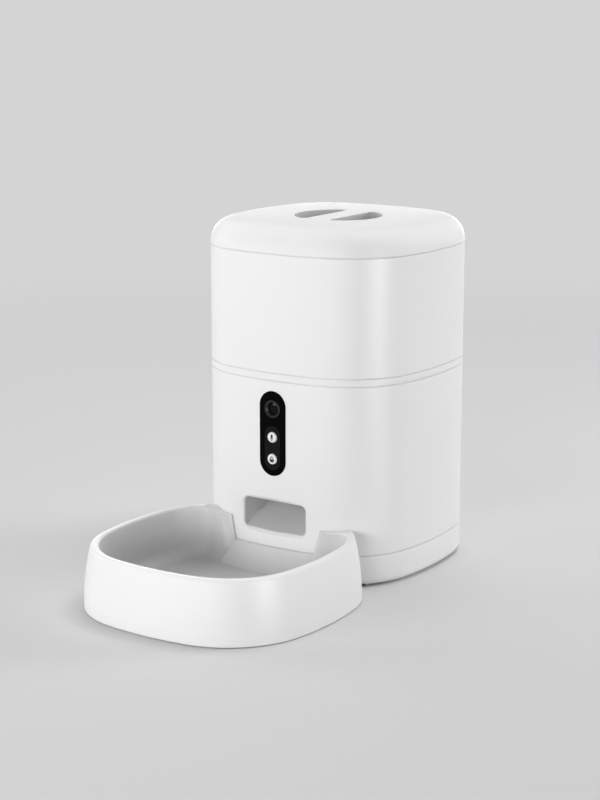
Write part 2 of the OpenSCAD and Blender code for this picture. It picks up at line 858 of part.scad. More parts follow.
module tank_deck() {
    color("#dededc") difference() {
        union() {
            body_prism(deck_low, deck_top, wall + fit_gap);
            translate([0, 0, pit_low]) cylinder(r = pit_r + 2.4, h = deck_top - pit_low);
            for (x = [-1, 1], y = boss_y) translate([x * boss_x, y, pit_low - boss_h])
                cylinder(r = 4, h = boss_h + eps);
        }
        translate([0, 0, pit_floor]) cylinder(r = pit_r, h = deck_top - pit_floor + eps);
        translate([-panel_bay_w / 2, front_y, deck_low - eps])
            cube([panel_bay_w, panel_bay_d, deck_t + 2 * eps]);
        translate([0, 0, pit_low - eps]) cylinder(r = seal_r, h = deck_t + 2 * eps);
        outlet_hole(pit_low - eps, pit_floor + eps, 1);
        at_posts() translate([0, 0, deck_low - eps]) cylinder(r = screw_hole_r, h = deck_t + 2 * eps);
        for (x = [-1, 1], y = boss_y) translate([x * boss_x, y, pit_low - boss_h - eps])
            cylinder(r = pilot_r, h = 5);
        for (x = [-1, 1]) translate([x * chute_screw_x, chute_screw_y, pit_low - eps])
            cylinder(r = pilot_r, h = 2.2 + eps);
    }
}

module deck_screws() {
    color("#9a9c9e") at_posts() translate([0, 0, deck_top]) screw_down(deck_t + pilot_depth - 1);
}

module shaft_seal() {
    color("#2e2f31") translate([0, 0, pit_low]) difference() {
        union() {
            cylinder(r = seal_r - fit_gap / 2, h = deck_t);
            translate([0, 0, deck_t]) cylinder(r = seal_r - 2 * seal_lip, h = seal_lip);
        }
        translate([0, 0, -eps]) cylinder(r = shaft_dia / 2 + shaft_gap, h = deck_t + seal_lip + 2 * eps);
    }
}

module motor_bracket() {
    edge = 6;
    color("#8f9498") translate([0, 0, bracket_low]) linear_extrude(bracket_t) difference() {
        translate([-boss_x - edge, boss_y[0] - edge])
            square([2 * (boss_x + edge), boss_y[1] - boss_y[0] + 2 * edge]);
        for (x = [-1, 1], y = boss_y) translate([x * boss_x, y]) circle(screw_hole_r);
        circle(nose_r + lift_gap);
        for (x = [-1, 1]) translate([x * gearbox_screw_r, 0]) circle(screw_hole_r);
    }
}

module bracket_screws() {
    color("#9a9c9e") for (x = [-1, 1], y = boss_y) translate([x * boss_x, y, bracket_low])
        screw_up(bracket_t + 4);
}

module gearbox() {
    top = bracket_low;
    color("#a8acb0") difference() {
        union() {
            translate([0, 0, top - gearbox_h]) cylinder(d = gearbox_d, h = gearbox_h);
            translate([0, 0, top - eps]) cylinder(r = nose_r, h = bracket_t + eps);
        }
        translate([0, 0, top - shaft_sunk - fit_gap])
            cylinder(d = shaft_dia + 2 * shaft_gap, h = shaft_sunk + bracket_t + fit_gap + eps);
        for (x = [-1, 1]) translate([x * gearbox_screw_r, 0, top - 6]) cylinder(r = pilot_r, h = 6 + eps);
    }
}

module gearbox_screws() {
    color("#9a9c9e") for (x = [-1, 1]) translate([x * gearbox_screw_r, 0, bracket_low + bracket_t])
        screw_down(bracket_t + 5);
}

module motor() {
    top = bracket_low - gearbox_h;
    low = top - motor_h;
    cap_h = 3;
    tag = [3, 0.6, 5];
    tag_x = 8;
    color("#c3c6c9") union() {
        translate([0, 0, low]) cylinder(d = motor_d, h = motor_h);
        translate([0, 0, low - cap_h]) cylinder(d = motor_d / 3, h = cap_h + eps);
        for (x = [-1, 1]) translate([x * tag_x - tag[0] / 2, -tag[1] / 2, low - tag[2]])
            cube(tag + [0, 0, eps]);
    }
}

/* Chute */

// Side view of the duct, grown outwards by a margin: y runs to the back, the drawing's y is the height
module duct_side(margin, top) {
    back = shaft_back + margin;
    front = shaft_front - margin;
    low = outlet_z - margin / cos(chute_slope);
    roof = outlet_z + outlet_h + margin;
    ahead = mouth_y - mouth_lap;
    shoulder = roof + 14;
    polygon([
        [ahead, low + (ahead - mouth_y) * chute_tan], [back, low + (back - mouth_y) * chute_tan], [back, top],
        [front, top], [front, shoulder], [mouth_y + 3, roof], [ahead, roof]]);
}

// Plan of the duct: it narrows from the outlet to the shaft
module duct_plan(margin) {
    mouth = outlet_w / 2 + margin;
    neck = shaft_w / 2 + margin;
    ahead = mouth_y - mouth_lap;
    polygon([
        [-mouth, ahead], [mouth, ahead], [mouth, mouth_y], [neck, shaft_front], [neck, shaft_back + margin],
        [-neck, shaft_back + margin], [-neck, shaft_front], [-mouth, mouth_y]]);
}

module duct(margin, top) {
    intersection() {
        translate([-outlet_w, 0, 0]) rotate([90, 0, 90]) linear_extrude(2 * outlet_w) duct_side(margin, top);
        linear_extrude(body_top) duct_plan(margin);
    }
}

module chute() {
    top = pit_low;
    color("#d2d3d3") difference() {
        union() {
            intersection() {
                duct(chute_wall, top);
                body_prism(0, body_top, wall + fit_gap);
            }
            for (x = [-1, 1]) hull() {
                translate([x * chute_screw_x, chute_screw_y, top - chute_tab_t])
                    cylinder(r = chute_tab_r, h = chute_tab_t, $fn = 32);
                translate([x * (shaft_w / 2 + 1), chute_screw_y, top - chute_tab_t])
                    cylinder(r = chute_tab_r, h = chute_tab_t, $fn = 32);
            }
        }
        duct(0, top + eps);
        for (x = [-1, 1]) translate([x * chute_screw_x, chute_screw_y, top - chute_tab_t - eps])
            cylinder(r = screw_hole_r, h = chute_tab_t + 2 * eps);
    }
}

module chute_screws() {
    color("#9a9c9e") for (x = [-1, 1]) translate([x * chute_screw_x, chute_screw_y, pit_low - chute_tab_t])
        screw_up(chute_tab_t + 1.8);
}

/* Camera panel */

// A front piece cut from a flat outline and bent to the body's front, from one depth behind it to another
module front_layer(from, to) {
    difference() {
        intersection() {
            from_front(front_y - front_reach, front_y + front_deep) children();
            body_prism(base_top, body_top, from);
        }
        body_prism(base_top - eps, body_top + eps, to);
    }
}

module camera_panel() {
    color("#111113") difference() {
        union() {
            front_layer(-panel_proud, panel_back) translate([0, panel_z]) pill(panel_w, panel_h);
            front_layer(wall + fit_gap, panel_back) translate([0, panel_z])
                pill(panel_w + 2 * panel_flange, panel_h + 2 * panel_flange);
            for (z = boss_z) translate([0, web_y - 0.4, z]) rotate([-90, 0, 0])
                cylinder(r = boss_r, h = board_back + 0.4);
        }
        for (z = boss_z) translate([0, board_y + eps, z]) rotate([90, 0, 0]) cylinder(r = 1, h = 7 + eps);
        translate([0, front_y - front_reach, lens_z]) rotate([-90, 0, 0])
            cylinder(d = lens_ring_d + 2 * fit_gap, h = front_deep);
        front_layer(-front_reach, pad_depth) translate([0, pad_z])
            pill(pad_w + 2 * fit_gap, pad_h + 2 * fit_gap);
        for (z = [talk_z, feed_z]) translate([0, front_y - front_reach, z]) rotate([-90, 0, 0])
            cylinder(d = button_d + 0.8, h = front_reach + panel_back + eps);
    }
}

// Round front piece: the profile's x is the radius, its y is the depth behind the panel's front
module turned_front(z, points) {
    translate([0, front_y - panel_proud, z]) rotate([-90, 0, 0]) rotate_extrude() polygon(points);
}

module lens_ring() {
    r = lens_ring_d / 2;
    color("#3c3c3e") turned_front(lens_z, [
        [r - 1.2, -0.5], [r - 0.4, -0.5], [r, -0.1], [r, 5.2], [4.9, 5.2], [4.9, 3.4], [5.3, 3.4],
        [5.3, 1.6]]);
}

module camera_lens() {
    color("#1a2230") turned_front(lens_z, concat(
        [[0, lens_back], [lens_r, lens_back], [lens_r, lens_front]],
        [for (i = [0:5]) let (a = lens_bulge * (1 - i / 5))
            [lens_r * sin(a) / sin(lens_bulge),
             lens_front - lens_r / tan(lens_bulge) * (cos(a) / cos(lens_bulge) - 1)]]));
}

module camera_module() {
    face = front_y - panel_proud + 5.4;
    color("#2b2d30") union() {
        translate([0, face, lens_z]) rotate([-90, 0, 0]) cylinder(r = 4.6, h = board_y - face - 3.5);
        translate([-6.5, board_y - 4.5, lens_z - 6.5]) cube([13, 4.5, 13]);
    }
}

module button_pad() {
    color("#242527") difference() {
        front_layer(-panel_proud - 0.15, pad_depth - fit_gap) translate([0, pad_z]) pill(pad_w, pad_h);
        for (z = [talk_z, feed_z]) translate([0, front_y - front_reach, z]) rotate([-90, 0, 0])
            cylinder(d = button_d + 0.6, h = front_deep);
    }
}

// Button cap with a retaining flange behind the panel's web and a stem towards its switch
module button(z) {
    r = button_d / 2;
    face = -button_proud;
    flange = panel_back + panel_proud + 0.3;
    stem = plunger_y - front_y + panel_proud - button_travel - 0.2;
    color("#f2f2f0") turned_front(z, [
        [0, face], [r - 0.8, face], [r - 0.2, face + 0.25], [r, face + 0.9], [r, flange],
        [r + button_flange, flange],
        [r + button_flange, flange + 0.9], [2, flange + 0.9], [2, stem], [0, stem]]);
}

module button_talk() {
    button(talk_z);
}

module button_feed() {
    button(feed_z);
}

module front_board() {
    color("#1f5a3c") difference() {
        translate([-front_board_w / 2, board_y, front_board_low])
            cube([front_board_w, board_t, front_board_h]);
        for (z = boss_z) translate([0, board_y - eps, z]) rotate([-90, 0, 0])
            cylinder(r = 1.2, h = board_t + 2 * eps);
    }
}

module front_board_screws() {
    color("#9a9c9e") for (z = boss_z) translate([0, board_y + board_t, z]) rotate([90, 0, 0]) union() {
        cylinder(r = 0.9, h = 6);
        translate([0, 0, -1.2]) cylinder(r = 1.9, h = 1.2);
    }
}

module button_switches() {
    color("#5b5f63") for (z = [talk_z, feed_z]) {
        translate([-switch_w / 2, board_y - switch_h, z - switch_w / 2]) cube([switch_w, switch_h, switch_w]);
        translate([0, board_y - switch_h, z]) rotate([90, 0, 0]) cylinder(r = plunger_r, h = plunger_h);
    }
}

/* Electronics in the tray */

module control_board() {
    color("#1f5a3c") difference() {
        union() {
            translate([-board_w / 2, board_back_y - board_d, board_z]) cube([board_w, board_d, board_t]);
            translate([-tab_w / 2, board_back_y - eps, board_z]) cube([tab_w, tab_d + eps, board_t]);
        }
        for (x = [-1, 1], y = board_hole_y) translate([x * board_hole_x, y, board_z - eps])
            cylinder(r = screw_hole_r, h = board_t + 2 * eps);
    }
}

module board_parts() {
    top = board_z + board_t;
    y = board_back_y - board_d;
    radio = [18, 25, 3];
    chip = [12, 12, 1.6];
    plug = [8, 5.5, 6.5];
    can_r = 4;
    can_h = 11;
    color("#8d9093") {
        translate([-34, y + 8, top]) cube(radio);
        translate([-6, y + 10, top]) cube(chip);
        for (x = [18, 30]) translate([x, y + 16, top]) cylinder(r = can_r, h = can_h);
        for (x = [-12:12:12]) translate([x - plug[0] / 2, y + 34, top]) cube(plug);
    }
}

module board_screws() {
    color("#9a9c9e") for (x = [-1, 1], y = board_hole_y)
        translate([x * board_hole_x, y, board_z + board_t]) screw_down(board_t + 5);
}

module power_inlet() {
    tongue = [6.6, 0.7, 7.5];
    color("#b4b7ba") translate([0, body_half - 1 - inlet_d, inlet_z]) rotate([-90, 0, 0]) union() {
        linear_extrude(inlet_d) difference() {
            pill_flat(inlet_w, inlet_h);
            pill_flat(inlet_w - 2 * inlet_skin, inlet_h - 2 * inlet_skin);
        }
        linear_extrude(1) pill_flat(inlet_w - inlet_skin, inlet_h - inlet_skin);
        translate([-tongue[0] / 2, -tongue[1] / 2, 0]) cube(tongue);
    }
}

module speaker() {
    roll = 3.5;
    rim_t = 1.6;
    color("#303236") translate([0, speaker_y, speaker_z]) rotate([90, 0, 0]) rotate_extrude() polygon([
        [0, 3], [6, 2], [speaker_r - roll - 1.5, -1.5], [speaker_r - roll, 0], [speaker_r, 0],
        [speaker_r, rim_t],
        [speaker_r - roll, rim_t], [cone_r, magnet_low], [cone_r, speaker_h], [0, speaker_h]]);
}

/* Bowl */

// Outer form of the bowl: curved side and rounded rim
module bowl_block() {
    side_end = atan2(rim_z, rim_u + bowl_side_r);
    points = concat(
        [[-bowl_core, skirt_low]],
        arc_points(-bowl_side_r, 0, bowl_side_r, asin(skirt_low / bowl_side_r), side_end, 5),
        arc_points(rim_u, rim_z, rim_r, side_end + 12, 90, 6),
        [[-bowl_core, bowl_h]]);
    around(bowl_unit, bowl_corner_r) polygon(points);
    translate([0, 0, skirt_low]) linear_extrude(bowl_h - skirt_low)
        plan(bowl_unit, bowl_corner_r, bowl_core - eps);
}

// Line of the inner wall from the floor to the rim: x is the distance from the wall's top line into the bowl
function inner_wall() = concat(
    arc_points(draft_run + bowl_fillet_r, bowl_floor_z + bowl_fillet_r, bowl_fillet_r, 270, 180),
    arc_points(-rim_inner_r, inner_top_z, rim_inner_r, 0, 90, 4));

function flipped(points, x) = [for (p = points) [x - p[0], p[1]]];
function shifted(points, x) = [for (p = points) [x + p[0], p[1]]];

// Solid that stays at a rear inner corner: the wall's line turned about the corner's own centre
module rear_corner() {
    q = rear_corner_q;
    to_wall = (bowl_front_axis - q) / norm(bowl_front_axis - q);
    to_side = (q - rear_corner_c) / norm(q - rear_corner_c);
    out = rear_corner_r + 12;
    intersection() {
        translate([q[0], q[1], 0]) rotate_extrude() polygon(concat(
            [[out, bowl_floor_z - eps], [rear_corner_r - draft_run - bowl_fillet_r, bowl_floor_z - eps]],
            flipped(inner_wall(), rear_corner_r), [[out, bowl_h + eps]]));
        translate([0, 0, bowl_floor_z - 2 * eps]) linear_extrude(bowl_h) polygon([
            q, q + 30 * to_wall, q + 30 * to_wall + 30 * to_side, q + 30 * to_side]);
    }
}

module bowl_cavity() {
    difference() {
        union() {
            around(bowl_unit, bowl_corner_r) polygon(concat(
                [[-bowl_core, bowl_floor_z]],
                flipped(inner_wall(), inner_top_u),
                [[rim_in_u, bowl_h + eps], [-bowl_core, bowl_h + eps]]));
            translate([0, 0, bowl_floor_z]) linear_extrude(bowl_h + eps - bowl_floor_z)
                plan(bowl_unit, bowl_corner_r, bowl_core - eps);
        }
        translate([0, bowl_front_axis[1], 0]) rotate_extrude() polygon(concat(
            [[rear_r - 40, bowl_floor_z - eps], [rear_r + draft_run + bowl_fillet_r, bowl_floor_z - eps]],
            shifted(inner_wall(), rear_r), [[rear_r - 40, bowl_h]]));
        rear_corner();
        mirror([1, 0, 0]) rear_corner();
    }
}

// Hollow between the skirt and the inner wall, open below
module bowl_hollow() {
    skirt = bowl_side_r - bowl_wall;
    top = rim_z - 4;
    floor_low = bowl_floor_z - bowl_wall;
    top_u = inner_top_u + bowl_wall;
    points = concat(
        [[-bowl_core, skirt_low - eps]],
        arc_points(-bowl_side_r, 0, skirt, asin((skirt_low - eps) / skirt), asin(top / skirt), 5),
        [[top_u, top], [top_u - draft_run, bowl_floor_z + bowl_fillet_r],
         [top_u - draft_run - bowl_fillet_r * 0.3, bowl_floor_z + bowl_fillet_r * 0.3],
         [top_u - draft_run - bowl_fillet_r, floor_low], [-bowl_core, floor_low]]);
    intersection() {
        union() {
            around(bowl_unit, bowl_corner_r) polygon(points);
            translate([0, 0, skirt_low - eps]) linear_extrude(floor_low - skirt_low + eps)
                plan(bowl_unit, bowl_corner_r, bowl_core - eps);
        }
        difference() {
            translate([-bowl_half, -bowl_half - eps, -eps]) cube([2 * bowl_half, 2 * bowl_half, bowl_h]);
            translate([0, bowl_front_axis[1], -2 * eps])
                cylinder(r = wall_r + bowl_wall, h = bowl_h + 4 * eps, $fn = 200);
            translate([0, bowl_front_axis[1], floor_low])
                cylinder(r = rear_r + draft_run + bowl_fillet_r + bowl_wall, h = bowl_h, $fn = 200);
        }
    }
}

// Ramp from the notch to the floor, widening towards the bowl's middle
module ramp() {
    foot = bowl_floor_z + ramp_lip;
    low = bowl_floor_z - bowl_wall / 2;
    back = wall_r + fit_gap / 2;
    front = wall_r + ramp_run;
    half = notch_w / 2 + ramp_grip;
    reach = ramp_run + 10;
    intersection() {
        translate([0, bowl_front_axis[1], 0]) rotate_extrude() polygon([
            [back, low], [front, low], [front, foot], [back + ramp_lip, notch_z - ramp_lip],
            [back, notch_z - ramp_lip]]);
        translate([0, notch_y, low - eps]) linear_extrude(bowl_h) polygon([
            [-half, 0], [-half, 10], [half, 10], [half, 0],
            [half + reach * tan(ramp_slant), -reach], [-half - reach * tan(ramp_slant), -reach]]);
    }
}

module at_pads() {
    for (x = [-1, 1]) {
        translate([x * pad_at, -pad_at, 0]) children();
        translate([x * pad_at, pad_rear_y, 0]) children();
    }
}

// Room for the body's front: its middle arc and its two corners, which stand out a little to cross the arc
module body_room() {
    slab = corner_centre + run / slant * (corner_r + bowl_gap);
    high = bowl_h + 2 * eps;
    translate([0, -bowl_y, -eps]) {
        intersection() {
            translate([0, front_axis[1], 0]) cylinder(r = wall_r, h = high);
            translate([-slab, -body_half - 2 * bowl_gap, 0]) cube([2 * slab, body_half, high]);
        }
        for (x = [-1, 1]) translate([x * corner_centre, -corner_centre, 0])
            cylinder(r = corner_r + bowl_gap + corner_cross, h = high);
    }
}

// Space beside the rounded end of the rear wall, leaning out with the notch and in with the wall
module ear_room() {
    past = 5;
    inward = 3 * notch_step;
    reach = rear_wall + 6;
    tip = ear_at[1] - ear_r * sin(notch_slant);
    low = bowl_floor_z + bowl_fillet_r - ramp_sunk;
    intersection() {
        translate([notch_w / 2, notch_y, notch_z]) rotate([-bowl_draft, notch_lean, 0])
            translate([0, 0, -notch_z])
            linear_extrude(2 * bowl_h) difference() {
                translate([-inward, -reach]) square([inward + ear_at[0], reach + past]);
                translate(ear_at) circle(ear_r);
                polygon([[-past * tan(notch_slant), past], [-tip * tan(notch_slant), tip],
                    ear_at, ear_at + [eps, 0],
                    [ear_at[0] + eps, past + eps], [-past * tan(notch_slant), past + eps]]);
            }
        translate([0, notch_y - bowl_half, low]) cube([bowl_half, 2 * bowl_half, bowl_h]);
    }
}

// Rear notch for the food, with a side that leans out and opens towards the bowl's middle
module notch_room() {
    half = notch_w / 2 - notch_step;
    low = bowl_floor_z + bowl_fillet_r / 2;
    translate([-half, notch_y - ramp_run - bowl_fillet_r, low]) cube([2 * half, body_half, bowl_h]);
    ear_room();
    mirror([1, 0, 0]) ear_room();
}

// Space above the dipped tops of the two ends of the rear wall
module dip_room() {
    low = bowl_h - ear_dip;
    ease = (dip_end - dip_flat) / 4;
    side = [[dip_flat, low], [dip_flat + ease, low + ear_dip * 0.1],
        [dip_flat + 2 * ease, low + ear_dip * 0.45],
        [dip_flat + 3 * ease, low + ear_dip * 0.85], [dip_end, bowl_h + fit_gap], [dip_end, bowl_h + eps]];
    from_front(notch_y - 50, notch_y + body_half)
        polygon(concat(side, [for (i = [len(side) - 1:-1:0]) [-side[i][0], side[i][1]]]));
}

module bowl() {
    color("#f0f0ee") translate([0, bowl_y, 0]) difference() {
        union() {
            difference() {
                bowl_block();
                bowl_cavity();
                bowl_hollow();
                body_room();
                notch_room();
                dip_room();
            }
            ramp();
            at_pads() translate([0, 0, skirt_low])
                cylinder(r = pad_r + 2, h = bowl_floor_z - skirt_low - eps);
        }
        at_pads() translate([0, 0, skirt_low - eps]) cylinder(r = pad_r + fit_gap, h = pad_sunk + eps);
    }
}

module bowl_pads() {
    color("#3a3b3d") translate([0, bowl_y, 0]) at_pads() cylinder(r = pad_r, h = skirt_low + pad_sunk);
}

module placed() {
    translate([0, body_y, 0]) children();
}

placed() lid();
placed() lid_liner();
placed() lid_seal();
placed() desiccant_cap();
placed() desiccant_pack();
placed() food_tank();
placed() tank_ring();
placed() hopper_funnel();
placed() meter_drum();
placed() food_baffle();
placed() tank_screws();
placed() impeller();
placed() stirrer();
placed() drive_shaft();
placed() drive_coupler();
placed() body_shell();
placed() base_tray();
placed() base_feet();
placed() base_screws();
placed() tank_deck();
placed() deck_screws();
placed() motor_bracket();
placed() bracket_screws();
placed() gearbox();
placed() motor();
placed() gearbox_screws();
placed() shaft_seal();
placed() chute();
placed() chute_screws();
placed() camera_panel();
placed() lens_ring();
placed() camera_lens();
placed() camera_module();
placed() button_pad();
placed() front_board();
placed() front_board_screws();
placed() button_switches();
placed() button_talk();
placed() button_feed();
placed() control_board();
placed() board_parts();
placed() board_screws();
placed() power_inlet();
placed() speaker();
placed() bowl();
placed() bowl_pads();
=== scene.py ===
"""Looks of an automatic pet feeder with a camera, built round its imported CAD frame."""

import json
import math

import bmesh
import bpy
import numpy as np
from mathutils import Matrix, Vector


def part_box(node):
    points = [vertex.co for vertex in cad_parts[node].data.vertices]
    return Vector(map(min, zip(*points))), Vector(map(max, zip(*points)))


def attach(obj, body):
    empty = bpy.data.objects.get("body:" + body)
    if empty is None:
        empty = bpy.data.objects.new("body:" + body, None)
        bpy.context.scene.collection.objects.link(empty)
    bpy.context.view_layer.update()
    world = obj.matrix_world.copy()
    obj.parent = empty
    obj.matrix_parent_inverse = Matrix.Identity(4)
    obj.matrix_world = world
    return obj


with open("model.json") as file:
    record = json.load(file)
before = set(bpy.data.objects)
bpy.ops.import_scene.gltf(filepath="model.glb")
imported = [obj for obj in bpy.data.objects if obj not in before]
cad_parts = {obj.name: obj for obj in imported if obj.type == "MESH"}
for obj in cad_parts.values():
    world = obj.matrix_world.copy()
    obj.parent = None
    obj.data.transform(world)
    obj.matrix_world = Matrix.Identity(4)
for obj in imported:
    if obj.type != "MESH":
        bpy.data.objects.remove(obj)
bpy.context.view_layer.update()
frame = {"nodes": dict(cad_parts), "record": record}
nodes = frame["nodes"]
scene = bpy.context.scene


# Materials

NOISE_LOW, NOISE_HIGH = 0.3, 0.7    # the part of a noise that most points fall in
PAINTED_SHADE_REACH = 0.15                 # how far round a point the painted shade looks for walls that would shade it, in metres
PAINTED_SHADE_STEP = 0.001                 # height over which the painted shade comes in
PAINTED_SHADE_DEEP, PAINTED_SHADE_MIDDLE, PAINTED_SHADE_OPEN = 0.4, 0.8, 0.98    # how open a deep recess, a corner and a free face are, for the painted shade
MOULD_EDGE = 0.0005                 # radius of a moulded edge
PANEL_EDGE = 0.0003                 # radius of the camera panel's edge
DRAWN = (1, 1, 14)                  # squeezes a noise along Z into fine lines


def new_material(name):
    """An empty node material: (material, nodes, links, Principled shader, object coordinates)."""
    material = bpy.data.materials.new(name)
    material.use_nodes = True
    tree = material.node_tree
    tree.nodes.clear()
    output = tree.nodes.new("ShaderNodeOutputMaterial")
    shader = tree.nodes.new("ShaderNodeBsdfPrincipled")
    tree.links.new(shader.outputs["BSDF"], output.inputs["Surface"])
    coords = tree.nodes.new("ShaderNodeTexCoord")
    return material, tree.nodes, tree.links, shader, coords.outputs["Object"]


def noise(made, links, coords, scale, detail=3.0):
    """A noise texture in the object's own metres; scale is in cycles per metre."""
    texture = made.new("ShaderNodeTexNoise")
    texture.inputs["Scale"].default_value = scale
    texture.inputs["Detail"].default_value = detail
    texture.inputs["Roughness"].default_value = 0.5
    links.new(coords, texture.inputs["Vector"])
    return texture.outputs["Fac"]


def spread(made, links, value, low, high):
    """Maps the middle of a noise to the range low to high."""
    node = made.new("ShaderNodeMapRange")
    node.inputs["From Min"].default_value = NOISE_LOW
    node.inputs["From Max"].default_value = NOISE_HIGH
    node.inputs["To Min"].default_value = low
    node.inputs["To Max"].default_value = high
    links.new(value, node.inputs["Value"])
    return node.outputs["Result"]


def tinted(made, links, value, dark, light):
    """A colour that drifts between two tints."""
    ramp = made.new("ShaderNodeValToRGB")
    ramp.color_ramp.elements[0].position = NOISE_LOW
    ramp.color_ramp.elements[0].color = (*dark, 1)
    ramp.color_ramp.elements[1].position = NOISE_HIGH
    ramp.color_ramp.elements[1].color = (*light, 1)
    links.new(value, ramp.inputs["Fac"])
    return ramp.outputs["Color"]


def bumped(made, links, value, shader, strength, distance, edge=0.0):
    """Fine relief of a depth in metres; an edge radius, where given, rounds the look of sharp edges."""
    bump = made.new("ShaderNodeBump")
    bump.inputs["Strength"].default_value = strength
    bump.inputs["Distance"].default_value = distance
    links.new(value, bump.inputs["Height"])
    links.new(bump.outputs["Normal"], shader.inputs["Normal"])
    if edge:
        bevel = made.new("ShaderNodeBevel")
        bevel.samples = 6
        bevel.inputs["Radius"].default_value = edge
        links.new(bevel.outputs["Normal"], bump.inputs["Normal"])


def painted_hollow_shade(made, links, coords, colour, deep, middle, above):
    """Paints shade into a colour: darkens it in hollows above a height, where the walls round them would
    shade it.
    """
    # painted shade: ambient occlusion darkens the base colour, it is not a tint of the plastic
    hollow_shade = made.new("ShaderNodeAmbientOcclusion")
    hollow_shade.samples = 8
    hollow_shade.only_local = True
    hollow_shade.inputs["Distance"].default_value = PAINTED_SHADE_REACH
    ramp = made.new("ShaderNodeValToRGB")
    ramp.color_ramp.elements[0].position = PAINTED_SHADE_DEEP
    ramp.color_ramp.elements[0].color = (deep, deep, deep, 1)
    ramp.color_ramp.elements[1].position = PAINTED_SHADE_OPEN
    ramp.color_ramp.elements[1].color = (1, 1, 1, 1)
    ramp.color_ramp.elements.new(PAINTED_SHADE_MIDDLE).color = (middle, middle, middle, 1)
    links.new(hollow_shade.outputs["AO"], ramp.inputs["Fac"])
    height = made.new("ShaderNodeSeparateXYZ")
    links.new(coords, height.inputs[0])
    within = made.new("ShaderNodeMapRange")
    within.inputs["From Min"].default_value = above
    within.inputs["From Max"].default_value = above + PAINTED_SHADE_STEP
    links.new(height.outputs["Z"], within.inputs["Value"])
    painted_shade_colour = made.new("ShaderNodeMix")
    painted_shade_colour.data_type = "RGBA"
    painted_shade_colour.blend_type = "MULTIPLY"
    links.new(within.outputs["Result"], painted_shade_colour.inputs["Factor"])
    links.new(colour, painted_shade_colour.inputs[6])
    links.new(ramp.outputs["Color"], painted_shade_colour.inputs[7])
    return painted_shade_colour.outputs[2]


def plastic(name, dark, light, rough, grain=2600, strength=0.12, depth=0.00003, gloss=0.5, drift=9, edge=0.0,
            hollow_shade=None):
    """Moulded plastic: a slow drift from dark to light, uneven gloss and a fine moulded grain.

    rough is the range of the roughness, grain and drift are cycles per metre, and the last argument, where
    given, paints shade into the colour of deep hollows: the tone of deep ones, the tone of shallow ones and
    the height it starts at.
    """
    material, made, links, shader, coords = new_material(name)
    slow = noise(made, links, coords, drift)
    fine = noise(made, links, coords, grain, 2.0)
    colour = tinted(made, links, slow, dark, light)
    # painted shade: the colour is darkened in hollows where given
    if hollow_shade:
        colour = painted_hollow_shade(made, links, coords, colour, *hollow_shade)
    links.new(colour, shader.inputs["Base Color"])
    links.new(spread(made, links, fine, *rough), shader.inputs["Roughness"])
    shader.inputs["Specular IOR Level"].default_value = gloss
    bumped(made, links, fine, shader, strength, depth, edge)
    return material


def brushed(name, dark, light, rough):
    """Plated or drawn metal with fine lines round it."""
    material, made, links, shader, coords = new_material(name)
    squeezed = made.new("ShaderNodeMapping")
    squeezed.inputs["Scale"].default_value = DRAWN
    links.new(coords, squeezed.inputs["Vector"])
    lines = noise(made, links, squeezed.outputs["Vector"], 900, 4.0)
    slow = noise(made, links, coords, 60)
    links.new(tinted(made, links, slow, dark, light), shader.inputs["Base Color"])
    links.new(spread(made, links, lines, *rough), shader.inputs["Roughness"])
    shader.inputs["Metallic"].default_value = 1.0
    bumped(made, links, lines, shader, 0.1, 0.00002)
    return material


def glass(name):
    """Dark coated lens, with a faint violet painted reflection towards its rim, where the surface turns away
    from the view.
    """
    material, made, links, shader, coords = new_material(name)
    # painted reflection: the colour turns violet as the surface turns away from the view
    edge = made.new("ShaderNodeLayerWeight")
    edge.inputs["Blend"].default_value = 0.35
    painted_rim_reflection = tinted(made, links, edge.outputs["Facing"], (0.0012, 0.0012, 0.0018), (0.008, 0.006, 0.018))
    links.new(painted_rim_reflection, shader.inputs["Base Color"])
    links.new(spread(made, links, noise(made, links, coords, 1500), 0.02, 0.05), shader.inputs["Roughness"])
    shader.inputs["Specular IOR Level"].default_value = 0.12
    return material


def board(name):
    """Green circuit board with faint copper lines under the mask."""
    material, made, links, shader, coords = new_material(name)
    weave = made.new("ShaderNodeTexBrick")
    weave.inputs["Scale"].default_value = 190
    weave.inputs["Mortar Size"].default_value = 0.035
    weave.inputs["Color1"].default_value = (0.012, 0.10, 0.045, 1)
    weave.inputs["Color2"].default_value = (0.016, 0.12, 0.055, 1)
    weave.inputs["Mortar"].default_value = (0.05, 0.20, 0.09, 1)
    links.new(coords, weave.inputs["Vector"])
    links.new(weave.outputs["Color"], shader.inputs["Base Color"])
    links.new(spread(made, links, noise(made, links, coords, 700), 0.28, 0.45), shader.inputs["Roughness"])
    return material


WHITE = (0.832, 0.832, 0.828), (0.848, 0.848, 0.845)
SMOOTH_WHITE = (0.836, 0.836, 0.832), (0.850, 0.850, 0.847)
WELL_HEIGHT = 0.2815    # just under the floor of the lid's finger wells; the lid's painted shade starts here
BOWL_HEIGHT = 0.004     # just over the bowl's underside; the bowl's painted shade starts here
